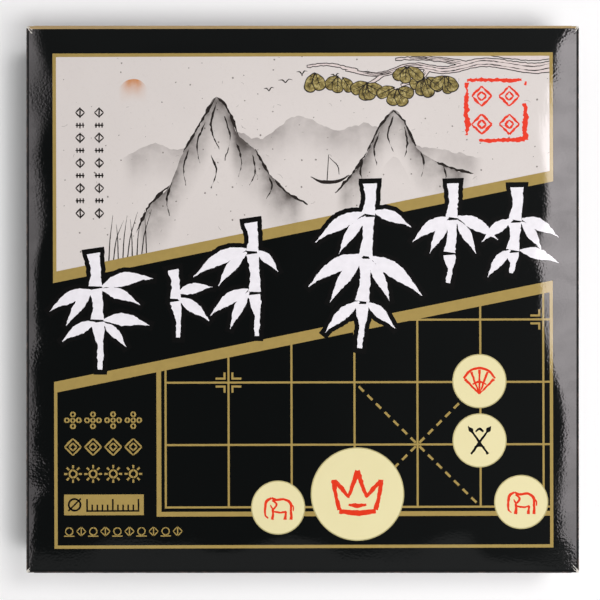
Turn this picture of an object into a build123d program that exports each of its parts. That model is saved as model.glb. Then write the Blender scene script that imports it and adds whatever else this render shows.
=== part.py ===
"""A xiangqi set in its lift-off carton box: lid, base, formed tray, folded playing board and 32 turned pieces.

Lengths are in millimetres and angles in degrees. The origin is the middle of the box's underside, +Z is up,
+X runs to the right along the front wall and +Y from the front wall to the back wall.

The set is sized from the inside out. The pieces set the tray's wells, the tray sets the base, and the base
sets the lid.
"""

import math
import os

from build123d import *

# Playing pieces: turned wooden drums with a ring cut into the marked face
piece_diameter = 40.0
piece_height = 16.0
piece_barrel = 0.9  # how far the side bulges at mid-height
piece_round = 2.4  # rounding between the side and each face
groove_radius = 15.2
groove_width = 0.8

# Tray: one thin sheet, vacuum formed, with a well for each stack of pieces
columns = 4
rows = 4
layers = 2  # pieces in a stack
film = 0.5  # thickness of the formed sheet
well_slip = 0.5  # clearance round a piece at the bottom of its well
well_draft = 2.0
well_round = 1.5
well_web = 2.65  # deck left between two wells
side_rim = 3.0  # deck left outside the wells, at the left and right
end_rim = 3.8  # the same at the front and back
skirt_draft = 2.0
tray_corner = 5.0
deck_round = 1.2
piece_proud = 5.5  # how far the upper pieces stand above the deck
channel_width = 17.0  # finger channel through each row of wells
channel_depth = 11.0

# Playing board: a coated sheet with a grid of squares, folded in half across X and then pleated across Y
squares_wide = 8
squares_long = 9
board_margin = 25.0  # from the grid to the sheet's edge
sheet = 0.35
pleats = 3
pleat_air = 0.3  # air between two doubled leaves
crease_air = 0.06  # air between the two halves of one leaf
board_slip = 1.7  # clearance between the folded board and the base, each side

# Carton: laminated board, die cut, creased and folded, with double walls and a rolled edge
card = 0.8
ply_gap = 0.1  # air between plies that are folded against each other
fold_radius = 1.0  # outside radius of the creases round the panel
corner_radius = 0.6  # outside radius of the upright crease between an end wall and its wing
wing_length = 30.0  # wing that runs from each end wall into the side wall
wing_bevel = 8.0  # cut-off corners at a wing's tip
tuck_gap = 0.3  # how far wings and inner plies stop short of the panel
nick_length = 3.4  # slit that frees the plies at each corner of the panel
nick_width = 0.6

# Lid and base
tray_slip = 0.6  # clearance between tray and base, each side
lid_slip = 0.6  # clearance between base and lid, each side
lid_seat = 0.05  # clearance between the base's rolled edge and the lid's panel
lid_reveal = 2.5  # strip of the base left bare under the lid
headroom = 2.0  # air between the upper pieces and the lid
notch_radius = 11.0  # half-moon thumb cuts in the lid's front and back walls

# Wells and tray
well_depth = layers * piece_height - piece_proud
tray_height = film + well_depth
well_radius = piece_diameter / 2 + well_slip
mouth_radius = well_radius + well_depth * math.tan(math.radians(well_draft))
well_pitch = 2 * mouth_radius + well_web
skirt_spread = tray_height * math.tan(math.radians(skirt_draft))
tray_width = (columns - 1) * well_pitch + 2 * (mouth_radius + side_rim + skirt_spread)
tray_length = (rows - 1) * well_pitch + 2 * (mouth_radius + end_rim + skirt_spread)

# Carton sizes. A side wall is an outer ply, a wing and an inner ply, and an end wall is two plies
side_stack = 3 * card + 2 * ply_gap
end_stack = 2 * card + ply_gap
base_inner_width = tray_width + 2 * tray_slip
base_width = base_inner_width + 2 * side_stack
base_length = tray_length + 2 * (tray_slip + end_stack)
lid_width = base_width + 2 * (lid_slip + side_stack)
lid_length = base_length + 2 * (lid_slip + end_stack)

# Folded board
leaf_width = base_inner_width - 2 * board_slip
square = 2 * (leaf_width - board_margin) / squares_wide
leaf_length = (squares_long * square + 2 * board_margin) / pleats
leaf = 2 * sheet + crease_air
leaf_pitch = leaf + pleat_air
board_height = (pleats - 1) * leaf_pitch + leaf

# Heights
tray_bottom = card + board_height
layer_bottoms = [tray_bottom + film + layer * piece_height for layer in range(layers)]
lid_underside = layer_bottoms[-1] + piece_height + headroom
lid_top = lid_underside + card
base_depth = lid_underside - lid_seat
lid_depth = lid_top - lid_reveal


def folded_wall(section_plane, reach, stack, depth, span):
    """Two opposite walls: the outer ply runs down, turns over at the rolled edge and comes up inside."""
    roll = (stack - card) / 2
    outer = reach - card / 2
    inner = outer - 2 * roll
    edge = roll + card / 2 - depth
    with BuildPart() as walls:
        with BuildSketch(section_plane):
            with BuildLine():
                Line((outer, -card / 2), (outer, edge))
                ThreePointArc((outer, edge), (outer - roll, edge - roll), (inner, edge))
                Line((inner, edge), (inner, -card - tuck_gap))
            trace(line_width=card)
            mirror(about=Plane.YZ)
        extrude(amount=span / 2, both=True)
    return walls.part


def carton(width, length, depth):
    """A die-cut sheet folded into a panel with four double walls. The panel's outer face is at z = 0."""
    ply_end = side_stack / 2 - depth
    crease = width / 2 - card - ply_gap
    with BuildPart() as folded:
        Box(width, length, -ply_end, align=(Align.CENTER, Align.CENTER, Align.MAX))
        fillet(folded.edges().group_by(Axis.Z)[-1], radius=fold_radius)
        with Locations((0, 0, -card)):
            Box(width - 2 * card, length - 2 * card, depth,
                align=(Align.CENTER, Align.CENTER, Align.MAX), mode=Mode.SUBTRACT)

        # A slit parts each end ply from the side ply beside it
        for side in (-1, 1):
            with Locations((side * (crease + ply_gap / 2), 0, -fold_radius)):
                Box(ply_gap, length, depth, align=(Align.CENTER, Align.CENTER, Align.MAX), mode=Mode.SUBTRACT)

        # The end plies turn the corner as wings, which lie inside the side walls
        wing_top = -card - tuck_gap
        for side in (-1, 1):
            with BuildSketch(Plane.YZ.offset(side * (crease - card / 2))):
                for end in (-1, 1):
                    with BuildLine():
                        root = end * length / 2
                        tip = end * (length / 2 - wing_length)
                        shoulder = end * (length / 2 - wing_length + wing_bevel)
                        Polyline((root, wing_top), (shoulder, wing_top), (tip, wing_top - wing_bevel),
                                 (tip, ply_end + wing_bevel), (shoulder, ply_end), (root, ply_end), close=True)
                    make_face()
            extrude(amount=card / 2, both=True)
        creases = folded.edges().filter_by(Axis.Z).filter_by(
            lambda edge: abs(abs(edge.center().X) - crease) < ply_gap / 4
            and abs(abs(edge.center().Y) - length / 2) < ply_gap / 4)
        fillet(creases, radius=corner_radius)

        # Rolled edges and inner plies
        add(folded_wall(Plane.XZ, width / 2, side_stack, depth, length - 2 * (card + ply_gap)))
        add(folded_wall(Plane.YZ, length / 2, end_stack, depth, width - 2 * (side_stack + ply_gap)))

        # Slits from the panel's corners
        for x in (-1, 1):
            for y in (-1, 1):
                slit = Location((x * width / 2, y * length / 2, 0), (0, 0, 45 * x * y))
                with Locations(slit):
                    Box(2 * nick_length, nick_width, 2 * fold_radius, mode=Mode.SUBTRACT)
    return folded.part


with BuildPart() as lid:
    with Locations((0, 0, lid_top)):
        add(carton(lid_width, lid_length, lid_depth))
    with Locations((0, 0, lid_reveal)):
        Cylinder(notch_radius, 2 * lid_length, rotation=(90, 0, 0), mode=Mode.SUBTRACT)
lid.part.label = "lid"

with BuildPart() as base:
    add(carton(base_width, base_length, base_depth), rotation=(180, 0, 0))
base.part.label = "base"


def tray_block(inset):
    """The drafted block that the tray's deck and skirt wrap, less an inset all round and at the top."""
    with BuildPart() as block:
        with BuildSketch():
            RectangleRounded(tray_width - 2 * inset, tray_length - 2 * inset, tray_corner - inset)
        extrude(amount=tray_height - inset, taper=skirt_draft)
        fillet(block.faces().sort_by(Axis.Z)[-1].edges(), radius=deck_round)
    return block.part


def tray_hollows(wall):
    """The wells and finger channels, each grown by a wall."""
    with BuildPart() as hollows:
        with Locations((0, 0, film - wall)):
            with GridLocations(well_pitch, well_pitch, columns, rows):
                Cone(well_radius + wall, mouth_radius + wall, well_depth + wall,
                     align=(Align.CENTER, Align.CENTER, Align.MIN))
        floors = hollows.edges().filter_by(GeomType.CIRCLE).group_by(Axis.Z)[0]
        fillet(floors, radius=well_round + wall)
        with BuildSketch(Plane.YZ):
            bottom = tray_height - channel_depth + channel_width / 2
            with Locations((0, bottom)):
                with GridLocations(well_pitch, 1, rows, 1):
                    Circle(channel_width / 2 + wall)
                    Rectangle(channel_width + 2 * wall, channel_depth, align=(Align.CENTER, Align.MIN))
        extrude(amount=(columns - 1) * well_pitch / 2, both=True)
    return hollows.part


with BuildPart() as underside:
    add(tray_block(film))
    add(tray_hollows(film), mode=Mode.SUBTRACT)

with BuildPart(Plane.XY.offset(tray_bottom)) as tray:
    add(tray_block(0))
    add(underside.part, mode=Mode.SUBTRACT)
    add(tray_hollows(0), mode=Mode.SUBTRACT)
tray.part.label = "tray"


def pleated(line_width):
    """The section of the pleated board, or of the crease inside it, across the pleats."""
    bend = leaf_pitch / 2
    half = leaf_length / 2 - bend
    with BuildSketch() as section:
        with BuildLine():
            for pleat in range(pleats):
                height = card + leaf / 2 + pleat * leaf_pitch
                side = 1 if pleat % 2 == 0 else -1
                Line((-side * half, height), (side * half, height))
                if pleat < pleats - 1:
                    ThreePointArc((side * half, height), (side * (half + bend), height + bend),
                                  (side * half, height + leaf_pitch))
        trace(line_width=line_width)
    return section.sketch


with BuildPart() as playing_board:
    with BuildSketch(Plane.YZ):
        add(pleated(leaf))
    extrude(amount=leaf_width / 2, both=True)
    # The two halves of the sheet part everywhere but at the crease on the left
    with BuildSketch(Plane.YZ.offset(sheet - leaf_width / 2)):
        add(pleated(crease_air))
    extrude(amount=leaf_width, mode=Mode.SUBTRACT)
playing_board.part.label = "playing_board"


def turned_piece():
    """One piece, standing on z = 0: half its section turned about the axis."""
    radius = piece_diameter / 2
    face = radius - piece_barrel
    with BuildPart() as piece:
        with BuildSketch(Plane.XZ) as section:
            with BuildLine():
                Line((0, 0), (face, 0))
                ThreePointArc((face, 0), (radius, piece_height / 2), (face, piece_height))
                Line((face, piece_height), (0, piece_height))
                Line((0, piece_height), (0, 0))
            make_face()
            rims = section.vertices().group_by(Axis.X)[-1]
            fillet(rims, radius=piece_round)
            with Locations((groove_radius, piece_height)):
                Circle(groove_width / 2, mode=Mode.SUBTRACT)
        revolve(axis=Axis.Z)
    return piece.part


# Each colour's pieces fill its two rows of wells, front row first and from left to right
upper_set = ["chariot_1", "horse_1", "elephant_1", "advisor_1", "general", "cannon_1", "soldier_1", "soldier_2"]
lower_set = ["chariot_2", "horse_2", "elephant_2", "advisor_2", "cannon_2", "soldier_3", "soldier_4", "soldier_5"]
with GridLocations(well_pitch, well_pitch, columns, rows) as grid:
    wells = sorted(grid.locations, key=lambda well: (round(well.position.Y, 3), well.position.X))
names = [[f"{colour}_{name}" for colour in ("red", "black") for name in ranks] for ranks in (lower_set, upper_set)]

pieces = []
turned = turned_piece()
for layer, bottom in enumerate(layer_bottoms):
    for well, name in zip(wells, names[layer]):
        with BuildPart() as piece:
            with Locations((well.position.X, well.position.Y, bottom)):
                add(turned)
        piece.part.label = name
        pieces.append(piece)

os.makedirs("parts", exist_ok=True)
for made in [lid, base, tray, playing_board, *pieces]:
    export_step(made.part, f"parts/{made.part.label}.step")
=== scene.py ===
import contextlib
import functools
import math
import random

import bpy
from mathutils import Matrix, Vector, noise


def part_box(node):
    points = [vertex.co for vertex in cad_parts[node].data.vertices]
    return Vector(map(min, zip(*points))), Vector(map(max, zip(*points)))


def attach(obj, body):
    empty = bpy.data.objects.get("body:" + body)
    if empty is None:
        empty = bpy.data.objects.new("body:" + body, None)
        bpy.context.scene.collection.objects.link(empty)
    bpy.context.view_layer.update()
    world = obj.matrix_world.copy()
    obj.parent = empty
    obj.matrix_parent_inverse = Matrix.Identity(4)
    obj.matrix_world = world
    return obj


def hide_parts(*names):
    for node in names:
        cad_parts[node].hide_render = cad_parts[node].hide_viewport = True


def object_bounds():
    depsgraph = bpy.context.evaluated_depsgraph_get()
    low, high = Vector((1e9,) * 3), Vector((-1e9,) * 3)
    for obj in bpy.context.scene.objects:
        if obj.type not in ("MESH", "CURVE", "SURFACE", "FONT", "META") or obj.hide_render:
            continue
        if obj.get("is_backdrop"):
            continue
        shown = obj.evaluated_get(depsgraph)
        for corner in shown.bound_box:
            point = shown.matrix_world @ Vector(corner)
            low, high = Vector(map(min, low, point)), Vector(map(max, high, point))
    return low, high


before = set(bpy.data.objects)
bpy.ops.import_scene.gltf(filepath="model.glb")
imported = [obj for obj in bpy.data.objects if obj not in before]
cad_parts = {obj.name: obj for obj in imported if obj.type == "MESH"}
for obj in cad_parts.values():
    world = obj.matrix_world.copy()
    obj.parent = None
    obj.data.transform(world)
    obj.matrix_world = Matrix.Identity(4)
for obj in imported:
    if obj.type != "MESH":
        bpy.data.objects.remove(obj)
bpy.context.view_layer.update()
MM = 0.001


# ---- Lid: one die-cut sheet of white-lined grey board, creased, folded and glued into a tray with rolled
# edges. Its outside is offset printed black and laminated with a gloss film, which turns over the rolled
# edge and up the inside of the walls. The panel's inside and every cut edge stay bare board.
def linear(hex_colour):
    """An sRGB hex colour as linear RGBA."""
    channels = [int(hex_colour[i:i + 2], 16) / 255 for i in (1, 3, 5)]
    return (*[c / 12.92 if c <= 0.04045 else ((c + 0.055) / 1.055) ** 2.4 for c in channels], 1.0)


def feed(made, *by_place, **by_name):
    """Fills a node. A small-letter name is a setting and any other name a socket's, with _ for a space. A
    socket takes a value, an sRGB hex colour, another node's output or a node for its first output."""
    for name, value in [*enumerate(by_place), *by_name.items()]:
        if isinstance(name, str) and hasattr(made, name):
            setattr(made, name, value)
            continue
        socket = made.inputs[name.replace("_", " ") if isinstance(name, str) else name]
        if isinstance(value, bpy.types.Node):
            value = value.outputs[0]
        if isinstance(value, bpy.types.NodeSocket):
            made.id_data.links.new(value, socket)
        else:
            socket.default_value = linear(value) if isinstance(value, str) else value
    return made


def add_node(tree, kind, *by_place, **by_name):
    """Adds a shader node and fills it. A kind in capitals is a Math node's operation. A VectorMath node's
    operation comes after its kind."""
    if kind.isupper():
        kind, by_place = "Math", (kind, *by_place)
    made = tree.nodes.new("ShaderNode" + kind)
    if "Math" in kind:
        made.operation, *by_place = by_place
    return feed(made, *by_place, **by_name)


def new_material(name, **sockets):
    """A material with one Principled shader. Returns it, what adds a node to it, the shader and Object
    coordinates."""
    material = bpy.data.materials.new(name)
    material.use_nodes = True
    add = functools.partial(add_node, material.node_tree)
    shader = feed(material.node_tree.nodes["Principled BSDF"], **sockets)
    return material, add, shader, add("TexCoord").outputs["Object"]


def coat(made, material):
    """Gives an object one material and no other."""
    made.data.materials.clear()
    made.data.materials.append(material)


film_sag = 0.30 * MM  # slow waves of the laminated panel, as it dries
film_wave = 36 * MM
film_peel = 0.0036 * MM  # orange peel, finer on the real film and drawn as coarse as it needs to show
film_grain = 0.8 * MM
film_patch = 14 * MM
film_rough = 0.02


def filmed(name):
    """A material under the laminate, which is a clear film with slow waves and patches of orange peel."""
    material, add, shader, place = new_material(name, Roughness=film_rough, IOR=1.5)
    wave = add("TexNoise", place, Scale=1 / film_wave, Detail=1.0, Roughness=0.4)
    peel = add("TexNoise", place, Scale=1 / film_grain, Detail=1.0)
    patch = add("TexNoise", place, Scale=1 / film_patch, Detail=0.0)
    patch = add("MapRange", patch, 0.35, 0.65, 0.45 * film_peel, film_peel)
    high = add("MULTIPLY_ADD", wave, film_sag, add("MULTIPLY", peel, patch))
    feed(shader, Normal=add("Bump", Height=high, Strength=1.0, Distance=1.0))
    return material, add, shader, place


black_ink = "#0B0D0D"
band_ink = "#B0966A"
card = 0.8 * MM


def carton_board(name, node, panel_side, rear_band=0.0):
    """Laminated board for one half of the box. Bare board shows on the panel's inside and on cut edges."""
    low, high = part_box(node)
    material, add, shader, place = filmed(name)
    x, y, z = add("SeparateXYZ", place).outputs
    from_x, from_y = (add("SUBTRACT", side, add("ABSOLUTE", at))
                      for side, at in ((high.x, x), (high.y, y)))
    inward = add("MINIMUM", from_x, from_y)
    panel = high.z if panel_side > 0 else low.z
    down = add("ABSOLUTE", add("SUBTRACT", z, panel))
    # The panel's inside lies one board below its outside, inward of the outer plies
    inside = add("COMPARE", down, card, 0.05 * MM)
    inside = add("MULTIPLY", inside, add("GREATER_THAN", inward, 1.2 * card))
    # The ply ends that show at the corners of the front and back walls
    end = add("LESS_THAN", from_x, card + 0.02 * MM)
    end = add("MULTIPLY", end, add("LESS_THAN", from_y, 0.02 * MM))
    end = add("MULTIPLY", end, add("GREATER_THAN", down, 1.05 * MM))
    bare = add("MAXIMUM", inside, end)
    # The outer ends of the slits at the panel's corners, where the board's white lining shows. Two opposite
    # corners are worn further in than the others
    crack = add("TexNoise", place, Scale=1 / (0.7 * MM), Detail=2.0)
    crack = add("MapRange", crack, 0.3, 0.7, 0.45 * MM, 0.95 * MM)
    slit = add("ABSOLUTE", add("SUBTRACT", from_x, from_y))
    slit = add("LESS_THAN", slit, crack)
    worn = add("LESS_THAN", add("MULTIPLY", x, y), 0.0)
    reach = add("MULTIPLY_ADD", worn, 0.9 * MM, 1.3 * MM)
    slit = add("MULTIPLY", slit, add("LESS_THAN", from_x, reach))
    slit = add("MULTIPLY", slit, add("COMPARE", down, 0.5 * MM, 0.52 * MM))
    bare = add("MAXIMUM", bare, slit)
    # The creases round the panel, where handling has rubbed the film and the ink looks brown
    rub = add("TexNoise", place, Scale=1 / (3.0 * MM), Detail=4.0, Roughness=0.7)
    rub = add("MapRange", rub, 0.35, 0.65, 0.24 * MM, 0.50 * MM)
    rub = add("LESS_THAN", add("MAXIMUM", inward, down), rub)
    shown = add("MixRGB", rub, black_ink, "#4E3F38")
    if rear_band:
        # The print lies a trifle askew on the board, so the band is wider at its left end
        band = add("MULTIPLY_ADD", x, 0.0016, high.y - 1.1 * MM)
        band = add("GREATER_THAN", y, band)
        band = add("MULTIPLY", band, add("LESS_THAN", down, rear_band))
        band = add("MULTIPLY", band, add("GREATER_THAN", from_x, card))
        shown = add("MixRGB", band, shown, band_ink)
    pulp = add("TexNoise", place, Scale=1 / (0.6 * MM), Detail=4.0)
    pulp = add("MixRGB", pulp, "#CFCBC2", "#E6E2DA")
    rough = add("MapRange", bare, 0.0, 1.0, film_rough, 0.9)
    feed(shader, Base_Color=add("MixRGB", bare, shown, pulp), Roughness=rough)
    return material


_, lid_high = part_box("lid")
coat(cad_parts["lid"], carton_board("black_laminated_carton_lid", "lid", 1, rear_band=3.0 * MM))

# ---- Base: the same folded and laminated carton, a wall stack smaller than the lid and panel down. It has
# the lid's bare inside and cut edges, and no gold band.
coat(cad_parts["base"], carton_board("black_laminated_carton_base", "base", -1))


# ---- Printed frame: gold ink under the laminate, a thin border round the panel and two slanting bands that
# part it into a picture above, a black title strip and a black field below. The border stops at the strip.
ink_step = 0.012 * MM  # each colour lies this much above the one printed before it
paper_level, wash_level, line_level, gold_level, edge_level, top_level, mark_level = 1, 2, 3, 4, 5, 6, 7


def printed(name, colour):
    """An ink under the laminate: one flat colour, with the faint mottle of offset print on coated board."""
    material, add, shader, place = filmed(name)
    mottle = add("TexNoise", place, Scale=1 / (2.2 * MM), Detail=3.0)
    shade = add("MapRange", mottle, 0.3, 0.7, 0.96, 1.04)
    feed(shader, Base_Color=add("VectorMath", "SCALE", linear(colour)[:3], Scale=shade))
    return material


gold_print = printed("gold_ink_under_film", "#A58E52")


def pick(*objects):
    """Selects these objects and no others. The first is the active one."""
    bpy.ops.object.select_all(action="DESELECT")
    for made in reversed(objects):
        made.select_set(True)
        bpy.context.view_layer.objects.active = made


@contextlib.contextmanager
def opened(made):
    """Opens an object in edit mode with all of its mesh selected, and closes it again."""
    pick(made)
    bpy.ops.object.mode_set(mode="EDIT")
    bpy.ops.mesh.select_all(action="SELECT")
    yield
    bpy.ops.object.mode_set(mode="OBJECT")


def sheet(name, left, bottom, right, top, columns=1, rows=1):
    """A flat rectangle on the panel, from a grid, in millimetres from the panel's middle."""
    pick()
    bpy.ops.mesh.primitive_grid_add(x_subdivisions=columns, y_subdivisions=rows, size=1)
    made = bpy.context.object
    made.name = name
    with opened(made):
        spans = ((right - left) * MM, (top - bottom) * MM, 1)
        bpy.ops.transform.resize(value=spans, center_override=(0, 0, 0))
        bpy.ops.transform.translate(value=((left + right) / 2 * MM, (bottom + top) / 2 * MM, 0))
    return made


def trim(made, point, normal):
    """Cuts a flat piece along a line and drops the side that the normal points to."""
    with opened(made):
        bpy.ops.mesh.bisect(plane_co=(*Vector(point) * MM, 0), plane_no=(*normal, 0), clear_outer=True)


def hollow(made, width):
    """Leaves only a border of a width round each face of a flat piece."""
    with opened(made):
        bpy.ops.mesh.select_mode(type="FACE")
        bpy.ops.mesh.inset(thickness=width * MM, use_individual=True, use_even_offset=True)
        bpy.ops.mesh.delete(type="FACE")


def join(parts, name):
    """Makes one object of several."""
    pick(*parts)
    if len(parts) > 1:
        bpy.ops.object.join()
    parts[0].name = name
    return parts[0]


nothing = bpy.data.collections.new("nothing")


def thicken(made, bottom, height, merge):
    """Gives a flat piece its thickness and, where its parts overlap, merges them into one skin."""
    with opened(made):
        bpy.ops.mesh.remove_doubles(threshold=0.005 * MM)
        bpy.ops.transform.translate(value=(0, 0, bottom))
        bpy.ops.mesh.extrude_region_move(TRANSFORM_OT_translate={"value": (0, 0, height)})
        bpy.ops.mesh.select_all(action="SELECT")
        bpy.ops.mesh.normals_make_consistent(inside=False)
    if merge:
        weld = made.modifiers.new("weld", "BOOLEAN")
        weld.operation, weld.operand_type, weld.solver, weld.use_self = "UNION", "COLLECTION", "EXACT", True
        weld.collection = nothing
        bpy.ops.object.modifier_apply(modifier="weld")


# The print sits a hair askew on the folded board
askew = Matrix.Translation((-0.07 * MM, 0.31 * MM, 0)) @ Matrix.Rotation(math.radians(0.15), 4, "Z")


def ink(made, level, material, merge=False):
    """Gives a flat piece the thickness of its ink and lays it on the lid's panel, to ride on the lid."""
    made.data.transform(askew)
    thicken(made, lid_high.z, level * ink_step, merge)
    coat(made, material)
    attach(made, "lid")
    return made


border_left, border_right = -90.2, 90.75
border_bottom, border_top = -90.45, 88.8
border_line = 1.25
field_left, field_right, field_bottom, field_line = -89.92, 90.52, -90.29, 1.17  # frame of the black field
band_slope = 0.201
band_rise = 4.0  # height of a slanting band, measured upright
picture_band, field_band = 25.9, -13.9  # middle of each band over the panel's middle
uphill = (-band_slope, 1.0)
downhill = (band_slope, -1.0)

for name, left, right, bottom, line, middle, dropped in (
        ("gold_frame_upper", border_left, border_right, border_bottom, border_line, picture_band, downhill),
        ("gold_frame_lower", field_left, field_right, field_bottom, field_line, field_band, uphill)):
    edging = sheet(name, left, bottom, right, border_top)
    hollow(edging, line)
    trim(edging, (0, middle), dropped)
    band = sheet("band", left, border_bottom, right, border_top)
    trim(band, (0, middle + band_rise / 2), uphill)
    trim(band, (0, middle - band_rise / 2), downhill)
    ink(join([edging, band], name), gold_level, gold_print, merge=True)


# ---- Picture ground: a warm pale grey screened to look like rice paper, with flecks of bark and fibres. The
# washes of the picture fade back into the same ground.
def rice_paper(add, place):
    """The picture ground's colour at a place."""
    cloud = add("TexNoise", place, Scale=1 / (40 * MM), Detail=3.0)
    pale = add("MixRGB", cloud, "#D6CFCB", "#DFD8D4")
    fibre = add("TexNoise", place, Scale=1 / (0.9 * MM), Detail=3.0, Distortion=1.2)
    pale = add("MixRGB", add("MapRange", fibre, 0.55, 0.8, 0.0, 0.18), pale, "#BDB2AC")
    # Flecks of bark, ragged and at most 0.7 mm across, one to a cell of 5 mm where there is one
    ragged = add("TexNoise", place, Scale=1 / (0.4 * MM), Detail=1.0).outputs["Color"]
    ragged = add("VectorMath", "ADD", place, add("VectorMath", "SCALE", ragged, Scale=0.35 * MM))
    cell = add("TexVoronoi", voronoi_dimensions="2D", Vector=ragged, Scale=1 / (5.0 * MM))
    apart = add("SeparateColor", cell.outputs["Color"])
    fleck = add("LESS_THAN", cell, add("MapRange", apart, 0.50, 1.0, 0.0, 0.07))
    fleck = add("MULTIPLY", fleck, 0.75)
    # Hair fibres, bent, 0.12 mm thick and up to 2.4 mm long, each turned its own way in a cell of 9 mm
    cell = add("TexVoronoi", voronoi_dimensions="2D", Vector=place, Scale=1 / (9.0 * MM))
    apart = add("SeparateColor", cell.outputs["Color"])
    angle = add("MULTIPLY", apart.outputs["Red"], math.tau)
    away = add("VectorMath", "SUBTRACT", place, cell.outputs["Position"])
    away = add("SeparateXYZ", add("VectorRotate", rotation_type="Z_AXIS", Vector=away, Angle=angle))
    along = add("ABSOLUTE", away.outputs["X"])
    bend = add("MULTIPLY", along, along)
    across = add("MULTIPLY_ADD", bend, 0.25 / MM, away.outputs["Y"])
    hair = add("COMPARE", across, 0.0, 0.06 * MM)
    reach = add("MapRange", apart.outputs["Green"], 0.55, 1.0, 0.0, 1.2 * MM)
    hair = add("MULTIPLY", hair, add("LESS_THAN", along, reach))
    hair = add("MULTIPLY", hair, 0.6)
    return add("MixRGB", add("MAXIMUM", fleck, hair), pale, "#544C46")


rice_print, add, shader, place = filmed("rice_paper_print_under_film")
feed(shader, Base_Color=rice_paper(add, place))
ground = sheet("picture_ground", border_left + border_line, border_bottom, border_right - border_line,
               border_top - border_line)
trim(ground, (0, picture_band + band_rise / 2), downhill)
ink(ground, paper_level, rice_print)

# ---- Board diagram: one corner of a xiangqi board in gold line, with its heavy outer line, the palace's
# dashed diagonals and the corner ticks that mark where cannons and soldiers stand.
square_across, square_up = 22.775, 22.56
line_width = 0.74
first_column, bottom_row = -49.62, -75.46
lines_end = field_right - field_line

lines = sheet("lines", first_column - square_across, bottom_row - square_up,
              first_column + 7 * square_across, bottom_row + 5 * square_up, columns=8, rows=6)
hollow(lines, line_width / 2)
trim(lines, (first_column - line_width / 2, 0), (-1, 0))
trim(lines, (0, bottom_row - line_width / 2), (0, -1))
heavy_line, heavy_gap = 1.72, 1.58
heavy_out = heavy_gap + heavy_line
heavy = sheet("heavy", first_column - heavy_out, bottom_row - heavy_out, border_right + 30, 60)
hollow(heavy, heavy_line)
for part in (lines, heavy):
    trim(part, (lines_end, 0), (1, 0))
    trim(part, (0, field_band), uphill)


def corner_ticks(column, row, sides):
    """The short angles round a marked point, on one side of it or both."""
    arm_long, arm_short, arm_width, gap = 3.6, 2.6, 0.75, 1.05
    ticks = []
    for side in sides:
        for rise in (-1, 1):
            x = first_column + column * square_across + side * gap
            y = bottom_row + row * square_up + rise * gap
            for run, climb in ((arm_long, arm_width), (arm_width, arm_short)):
                left, right = sorted((x, x + side * run))
                bottom, top = sorted((y, y + rise * climb))
                ticks.append(sheet("tick", left, bottom, right, top))
    return ticks


def dashes(column, row, across, up):
    """A dashed line that runs from one crossing of the board to another."""
    dash, gap, width = 2.55, 1.85, 0.85
    run = math.hypot(across * square_across, up * square_up)
    way = math.atan2(up * square_up, across * square_across)
    count = int((run / 2) / (dash + gap))
    made = []
    for step in range(2 * count):
        middle = run / 2 + (step - count + 0.5) * (dash + gap)
        bar = sheet("dash", -dash / 2, -width / 2, dash / 2, width / 2)
        at = Vector((first_column + column * square_across + middle * math.cos(way),
                     bottom_row + row * square_up + middle * math.sin(way), 0)) * MM
        bar.data.transform(Matrix.Translation(at) @ Matrix.Rotation(way, 4, "Z"))
        made.append(bar)
    return made


marks = corner_ticks(1, 2, (-1, 1)) + corner_ticks(6, 3, (-1,))
marks += dashes(3, 2, 2, -2) + dashes(3, 0, 2, 2)
ink(join([lines, heavy, *marks], "board_diagram"), gold_level - 0.4, gold_print, merge=True)


# ---- Title strip: six stems of white bamboo, brushed in four clumps across the black strip, with a black
# edge where they lie over gold or paper. Each mark is a stroke that swells and tapers, with the ragged edge
# that bristle leaves on paper.
def smooth_path(points, spacing):
    """Points along a smooth curve through the given ones, about a spacing apart."""
    ends = [2 * Vector(points[0]) - Vector(points[1])] + [Vector(p) for p in points]
    ends.append(2 * Vector(points[-1]) - Vector(points[-2]))
    path = []
    for first, second, third, fourth in zip(ends, ends[1:], ends[2:], ends[3:]):
        steps = max(2, round((third - second).length / spacing))
        for step in range(steps):
            t = step / steps
            path.append(0.5 * (2 * second + (third - first) * t
                               + (2 * first - 5 * second + 4 * third - fourth) * t * t
                               + (3 * second - first - 3 * third + fourth) * t ** 3))
    path.append(ends[-2])
    return path


def stroke(points, widths, ragged=0.08, spacing=1.0, grow=0.0):
    """The outline of a brush stroke through points, in millimetres, with widths shared out along it."""
    path = smooth_path(points, spacing)
    if grow:
        path[0] = path[0] + (path[0] - path[1]).normalized() * grow * 0.8
        path[-1] = path[-1] + (path[-1] - path[-2]).normalized() * grow * 0.8
    left, right = [], []
    last = len(path) - 1
    for place, point in enumerate(path):
        way = (path[min(place + 1, last)] - path[max(place - 1, 0)]).normalized()
        across = Vector((-way.y, way.x))
        along = place / last * (len(widths) - 1)
        low = min(int(along), len(widths) - 2)
        width = widths[low] + (widths[low + 1] - widths[low]) * (along - low)
        for side, edge in ((1, left), (-1, right)):
            rough = noise.fractal(Vector((point.x, point.y, side * 7.0)) * 0.9, 1.0, 2.0, 2) * ragged
            edge.append(point + across * side * (max(width / 2 + rough, 0.02) + grow))
    return left + right[::-1]


def new_object(name, data):
    """An object for new data, in the scene."""
    made = bpy.data.objects.new(name, data)
    bpy.context.scene.collection.objects.link(made)
    return made


def drawn(name, points, flat):
    """A curve with straight parts through points. A flat one is closed and filled."""
    curve = bpy.data.curves.new(name, "CURVE")
    curve.dimensions = "2D" if flat else "3D"
    if flat:
        curve.fill_mode = "BOTH"
    spline = curve.splines.new("POLY")
    spline.points.add(len(points) - 1)
    for point, at in zip(spline.points, points):
        point.co = (*at, 1)
    spline.use_cyclic_u = flat
    return new_object(name, curve)


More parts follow.
